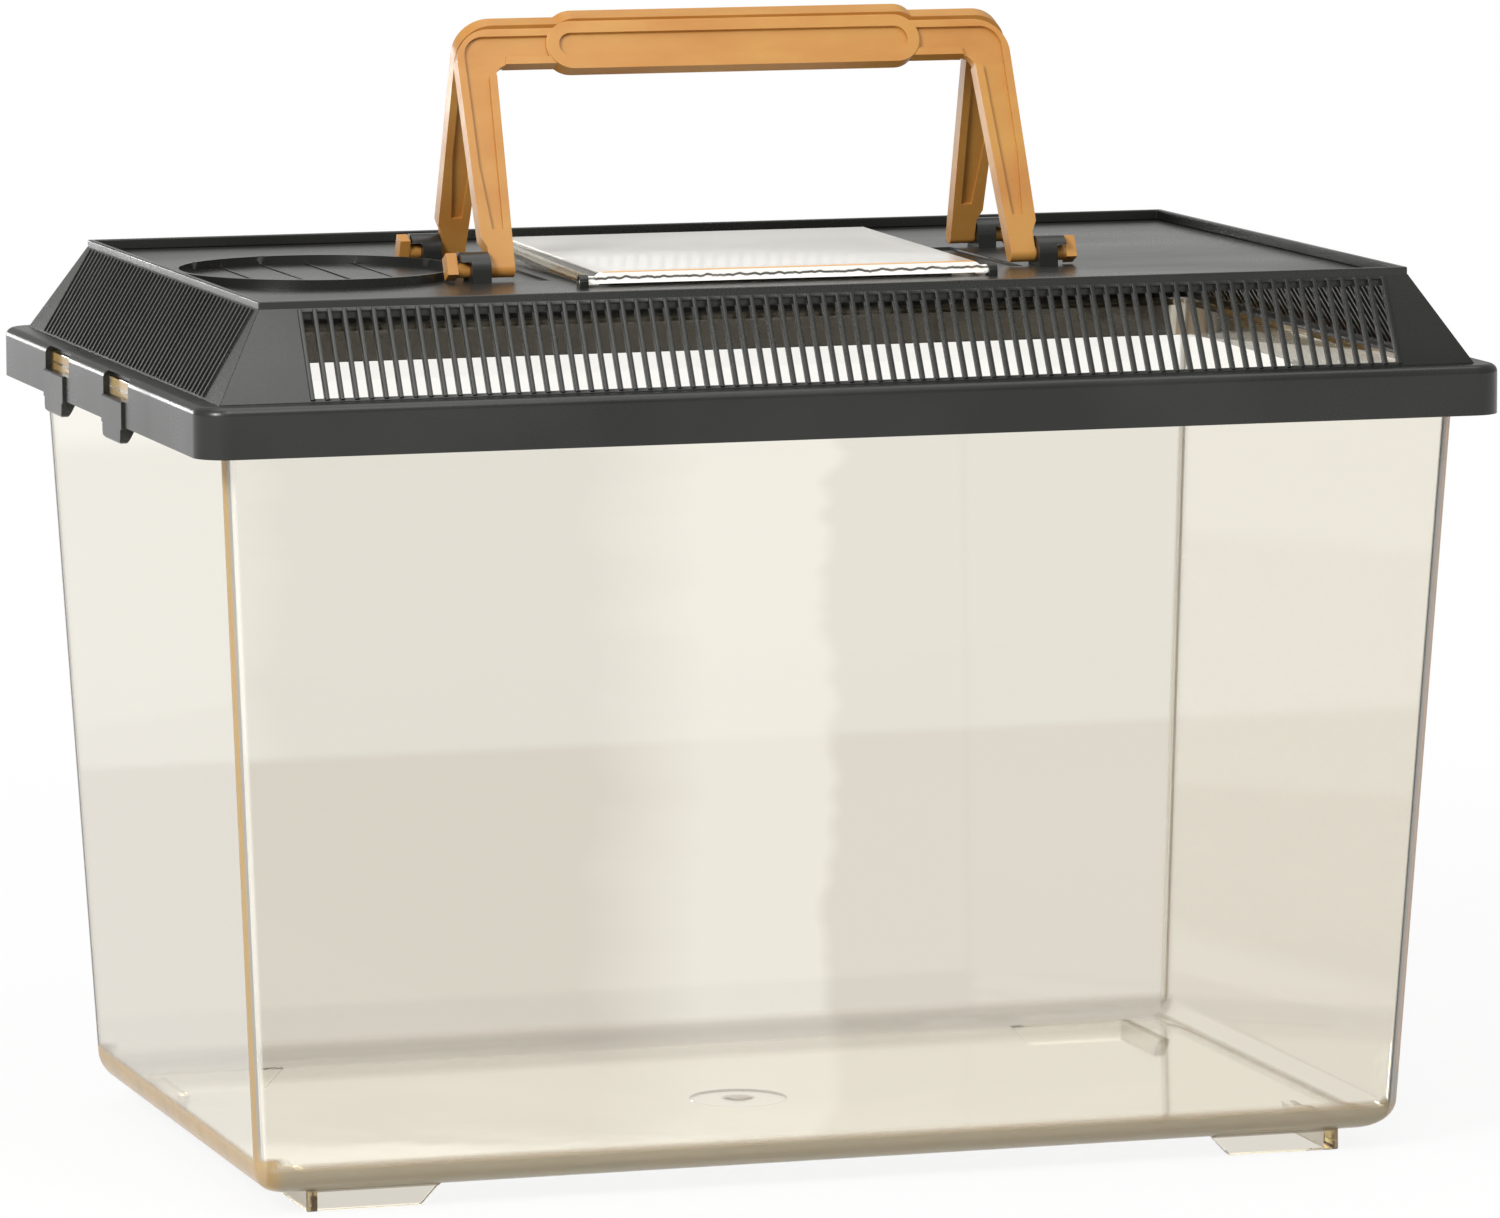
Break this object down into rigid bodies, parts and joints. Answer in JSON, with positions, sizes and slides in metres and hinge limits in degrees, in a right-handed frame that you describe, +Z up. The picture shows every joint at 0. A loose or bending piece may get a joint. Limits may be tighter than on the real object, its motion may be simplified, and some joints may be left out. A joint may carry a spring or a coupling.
{
  "type": "pet keeper",
  "caption": "Clear tapered plastic pet tank with a black vented clip-on lid, a clear feeding hatch and folding bail handles.",
  "frame": {"origin": "centre of the footprint on the floor, under the feet", "axes": "+X along the long side, +Y to the back (the hatch is hinged at the front), +Z up"},
  "size_m": [0.3716, 0.2442, 0.3182],
  "materials": {
    "clear_plastic": "clear with a faint amber tint",
    "black_plastic": "fine satin texture",
    "hatch_plastic": "clear and glossy",
    "tan_plastic": "semi-gloss"
  },
  "bodies": {
    "tank": {"tank": "clear_plastic", "tank_rim": "clear_plastic", "foot_front_left": "clear_plastic", "foot_front_right": "clear_plastic", "foot_rear_left": "clear_plastic", "foot_rear_right": "clear_plastic"},
    "lid": {"lid_skirt": "black_plastic", "lid_top": "black_plastic", "lid_lip": "black_plastic", "hatch_coaming": "black_plastic", "front_grille": "black_plastic", "rear_grille": "black_plastic", "left_grille": "black_plastic", "right_grille": "black_plastic", "collar": "black_plastic", "clip_left_rear": "black_plastic", "clip_left_front": "black_plastic", "clip_right_front": "black_plastic", "clip_right_rear": "black_plastic", "ear_front_left": "black_plastic", "ear_front_right": "black_plastic", "ear_rear_left": "black_plastic", "ear_rear_right": "black_plastic", "hatch_socket_left": "black_plastic", "hatch_socket_right": "black_plastic"},
    "hatch": {"hatch": "hatch_plastic"},
    "front_handle": {"front_handle": "tan_plastic"},
    "rear_handle": {"rear_handle": "tan_plastic"}
  },
  "joints": [
    {"name": "lid_lift", "type": "slide", "parent": "tank", "child": "lid", "axis": [0, 0, 1], "range_m": [0, 0.15]},
    {"name": "hatch_hinge", "type": "hinge", "parent": "lid", "child": "hatch", "pos_m": [-0.002, -0.0568, 0.2482], "axis": [1, 0, 0], "range_deg": [0, 36]},
    {"name": "front_handle_hinge", "type": "hinge", "parent": "lid", "child": "front_handle", "pos_m": [-0.0014, -0.0312, 0.2497], "axis": [1, 0, 0], "range_deg": [0, 113]},
    {"name": "rear_handle_hinge", "type": "hinge", "parent": "lid", "child": "rear_handle", "pos_m": [0.0014, 0.0312, 0.2497], "axis": [-1, 0, 0], "range_deg": [0, 108]}
  ]
}
